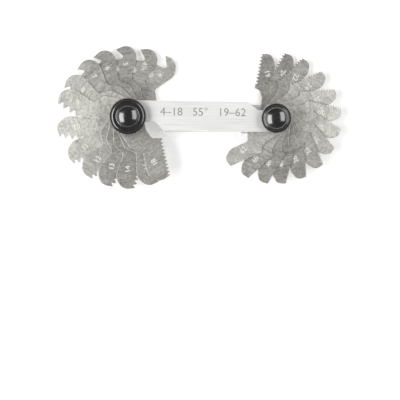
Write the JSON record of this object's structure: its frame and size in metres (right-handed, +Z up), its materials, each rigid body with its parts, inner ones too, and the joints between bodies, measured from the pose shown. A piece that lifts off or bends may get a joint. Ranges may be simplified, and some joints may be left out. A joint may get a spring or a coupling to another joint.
{
  "type": "thread pitch gauge",
  "caption": "Folding thread pitch gauge: two fans of toothed steel leaves turn out of a folded sheet case and are clamped by knurled nuts.",
  "frame": {"origin": "midway between the two pivots, on the back plate's outer face", "axes": "+X from the left pivot (coarse leaves) to the right pivot (fine leaves), +Y to the far side of the case, +Z up to the clamping nuts"},
  "size_m": [0.1097, 0.0551, 0.0139],
  "materials": {
    "case_steel": "bright fine-brushed steel sheet",
    "leaf_steel": "satin grey tempered steel",
    "screw_steel": "turned steel",
    "black_oxide": "glossy black over turned and knurled steel"
  },
  "bodies": {
    "case": {"front_plate": "case_steel", "back_plate": "case_steel", "left_pivot_screw": "screw_steel", "right_pivot_screw": "screw_steel"},
    "leaf_4_tpi": {"leaf_4_tpi": "leaf_steel"},
    "leaf_4_5_tpi": {"leaf_4_5_tpi": "leaf_steel"},
    "leaf_5_tpi": {"leaf_5_tpi": "leaf_steel"},
    "leaf_6_tpi": {"leaf_6_tpi": "leaf_steel"},
    "leaf_7_tpi": {"leaf_7_tpi": "leaf_steel"},
    "leaf_8_tpi": {"leaf_8_tpi": "leaf_steel"},
    "leaf_9_tpi": {"leaf_9_tpi": "leaf_steel"},
    "leaf_10_tpi": {"leaf_10_tpi": "leaf_steel"},
    "leaf_11_tpi": {"leaf_11_tpi": "leaf_steel"},
    "leaf_12_tpi": {"leaf_12_tpi": "leaf_steel"},
    "leaf_13_tpi": {"leaf_13_tpi": "leaf_steel"},
    "leaf_14_tpi": {"leaf_14_tpi": "leaf_steel"},
    "leaf_16_tpi": {"leaf_16_tpi": "leaf_steel"},
    "leaf_18_tpi": {"leaf_18_tpi": "leaf_steel"},
    "leaf_19_tpi": {"leaf_19_tpi": "leaf_steel"},
    "leaf_20_tpi": {"leaf_20_tpi": "leaf_steel"},
    "leaf_22_tpi": {"leaf_22_tpi": "leaf_steel"},
    "leaf_24_tpi": {"leaf_24_tpi": "leaf_steel"},
    "leaf_25_tpi": {"leaf_25_tpi": "leaf_steel"},
    "leaf_26_tpi": {"leaf_26_tpi": "leaf_steel"},
    "leaf_28_tpi": {"leaf_28_tpi": "leaf_steel"},
    "leaf_30_tpi": {"leaf_30_tpi": "leaf_steel"},
    "leaf_32_tpi": {"leaf_32_tpi": "leaf_steel"},
    "leaf_36_tpi": {"leaf_36_tpi": "leaf_steel"},
    "leaf_40_tpi": {"leaf_40_tpi": "leaf_steel"},
    "leaf_48_tpi": {"leaf_48_tpi": "leaf_steel"},
    "leaf_60_tpi": {"leaf_60_tpi": "leaf_steel"},
    "leaf_62_tpi": {"leaf_62_tpi": "leaf_steel"},
    "left_washer": {"left_washer": "screw_steel"},
    "left_nut": {"left_clamping_nut": "black_oxide"},
    "right_washer": {"right_washer": "screw_steel"},
    "right_nut": {"right_clamping_nut": "black_oxide"}
  },
  "joints": [
    {"name": "leaf_4_tpi_pivot", "type": "hinge", "parent": "case", "child": "leaf_4_tpi", "pos_m": [-0.0285, 0, 0.004], "axis": [0, 0, 1], "range_deg": [-54.1, 255.3]},
    {"name": "leaf_4_5_tpi_pivot", "type": "hinge", "parent": "case", "child": "leaf_4_5_tpi", "pos_m": [-0.0285, 0, 0.004], "axis": [0, 0, 1], "range_deg": [-73.8, 235.6]},
    {"name": "leaf_5_tpi_pivot", "type": "hinge", "parent": "case", "child": "leaf_5_tpi", "pos_m": [-0.0285, 0, 0.004], "axis": [0, 0, 1], "range_deg": [-94.3, 215.1]},
    {"name": "leaf_6_tpi_pivot", "type": "hinge", "parent": "case", "child": "leaf_6_tpi", "pos_m": [-0.0285, 0, 0.004], "axis": [0, 0, 1], "range_deg": [-114.5, 194.9]},
    {"name": "leaf_7_tpi_pivot", "type": "hinge", "parent": "case", "child": "leaf_7_tpi", "pos_m": [-0.0285, 0, 0.004], "axis": [0, 0, 1], "range_deg": [-131.7, 177.7]},
    {"name": "leaf_8_tpi_pivot", "type": "hinge", "parent": "case", "child": "leaf_8_tpi", "pos_m": [-0.0285, 0, 0.004], "axis": [0, 0, 1], "range_deg": [-150.7, 158.7]},
    {"name": "leaf_9_tpi_pivot", "type": "hinge", "parent": "case", "child": "leaf_9_tpi", "pos_m": [-0.0285, 0, 0.004], "axis": [0, 0, 1], "range_deg": [-165.6, 143.8]},
    {"name": "leaf_10_tpi_pivot", "type": "hinge", "parent": "case", "child": "leaf_10_tpi", "pos_m": [-0.0285, 0, 0.004], "axis": [0, 0, 1], "range_deg": [-192.3, 117.1]},
    {"name": "leaf_11_tpi_pivot", "type": "hinge", "parent": "case", "child": "leaf_11_tpi", "pos_m": [-0.0285, 0, 0.004], "axis": [0, 0, 1], "range_deg": [-216.6, 92.8]},
    {"name": "leaf_12_tpi_pivot", "type": "hinge", "parent": "case", "child": "leaf_12_tpi", "pos_m": [-0.0285, 0, 0.004], "axis": [0, 0, 1], "range_deg": [-235.7, 73.7]},
    {"name": "leaf_13_tpi_pivot", "type": "hinge", "parent": "case", "child": "leaf_13_tpi", "pos_m": [-0.0285, 0, 0.004], "axis": [0, 0, 1], "range_deg": [-253, 56.4]},
    {"name": "leaf_14_tpi_pivot", "type": "hinge", "parent": "case", "child": "leaf_14_tpi", "pos_m": [-0.0285, 0, 0.004], "axis": [0, 0, 1], "range_deg": [-270.9, 38.5]},
    {"name": "leaf_16_tpi_pivot", "type": "hinge", "parent": "case", "child": "leaf_16_tpi", "pos_m": [-0.0285, 0, 0.004], "axis": [0, 0, 1], "range_deg": [-291, 18.4]},
    {"name": "leaf_18_tpi_pivot", "type": "hinge", "parent": "case", "child": "leaf_18_tpi", "pos_m": [-0.0285, 0, 0.004], "axis": [0, 0, 1], "range_deg": [-301.2, 8.2]},
    {"name": "leaf_19_tpi_pivot", "type": "hinge", "parent": "case", "child": "leaf_19_tpi", "pos_m": [0.0285, 0, 0.004], "axis": [0, 0, 1], "range_deg": [-285.2, 26.3]},
    {"name": "leaf_20_tpi_pivot", "type": "hinge", "parent": "case", "child": "leaf_20_tpi", "pos_m": [0.0285, 0, 0.004], "axis": [0, 0, 1], "range_deg": [-265.3, 46.2]},
    {"name": "leaf_22_tpi_pivot", "type": "hinge", "parent": "case", "child": "leaf_22_tpi", "pos_m": [0.0285, 0, 0.004], "axis": [0, 0, 1], "range_deg": [-248.9, 62.6]},
    {"name": "leaf_24_tpi_pivot", "type": "hinge", "parent": "case", "child": "leaf_24_tpi", "pos_m": [0.0285, 0, 0.004], "axis": [0, 0, 1], "range_deg": [-228.9, 82.6]},
    {"name": "leaf_25_tpi_pivot", "type": "hinge", "parent": "case", "child": "leaf_25_tpi", "pos_m": [0.0285, 0, 0.004], "axis": [0, 0, 1], "range_deg": [-209.1, 102.4]},
    {"name": "leaf_26_tpi_pivot", "type": "hinge", "parent": "case", "child": "leaf_26_tpi", "pos_m": [0.0285, 0, 0.004], "axis": [0, 0, 1], "range_deg": [-191.5, 120]},
    {"name": "leaf_28_tpi_pivot", "type": "hinge", "parent": "case", "child": "leaf_28_tpi", "pos_m": [0.0285, 0, 0.004], "axis": [0, 0, 1], "range_deg": [-173.7, 137.8]},
    {"name": "leaf_30_tpi_pivot", "type": "hinge", "parent": "case", "child": "leaf_30_tpi", "pos_m": [0.0285, 0, 0.004], "axis": [0, 0, 1], "range_deg": [-156.1, 155.4]},
    {"name": "leaf_32_tpi_pivot", "type": "hinge", "parent": "case", "child": "leaf_32_tpi", "pos_m": [0.0285, 0, 0.004], "axis": [0, 0, 1], "range_deg": [-138.6, 172.9]},
    {"name": "leaf_36_tpi_pivot", "type": "hinge", "parent": "case", "child": "leaf_36_tpi", "pos_m": [0.0285, 0, 0.004], "axis": [0, 0, 1], "range_deg": [-120.2, 191.3]},
    {"name": "leaf_40_tpi_pivot", "type": "hinge", "parent": "case", "child": "leaf_40_tpi", "pos_m": [0.0285, 0, 0.004], "axis": [0, 0, 1], "range_deg": [-101.2, 210.3]},
    {"name": "leaf_48_tpi_pivot", "type": "hinge", "parent": "case", "child": "leaf_48_tpi", "pos_m": [0.0285, 0, 0.004], "axis": [0, 0, 1], "range_deg": [-85.4, 226.1]},
    {"name": "leaf_60_tpi_pivot", "type": "hinge", "parent": "case", "child": "leaf_60_tpi", "pos_m": [0.0285, 0, 0.004], "axis": [0, 0, 1], "range_deg": [-67.7, 243.8]},
    {"name": "leaf_62_tpi_pivot", "type": "hinge", "parent": "case", "child": "leaf_62_tpi", "pos_m": [0.0285, 0, 0.004], "axis": [0, 0, 1], "range_deg": [-48.9, 262.6]},
    {"name": "left_nut_lift", "type": "slide", "parent": "case", "child": "left_washer", "axis": [0, 0, 1], "range_m": [0, 0.00052]},
    {"name": "left_nut_turn", "type": "hinge", "parent": "left_washer", "child": "left_nut", "pos_m": [-0.0285, 0, 0.01], "axis": [0, 0, 1], "range_deg": [0, 270]},
    {"name": "right_nut_lift", "type": "slide", "parent": "case", "child": "right_washer", "axis": [0, 0, 1], "range_m": [0, 0.00052]},
    {"name": "right_nut_turn", "type": "hinge", "parent": "right_washer", "child": "right_nut", "pos_m": [0.0285, 0, 0.01], "axis": [0, 0, 1], "range_deg": [0, 270]}
  ],
  "couplings": [
    {"joint": "left_nut_turn", "follows": "left_nut_lift", "rad_per_m": 8976},
    {"joint": "right_nut_turn", "follows": "right_nut_lift", "rad_per_m": 8976}
  ]
}
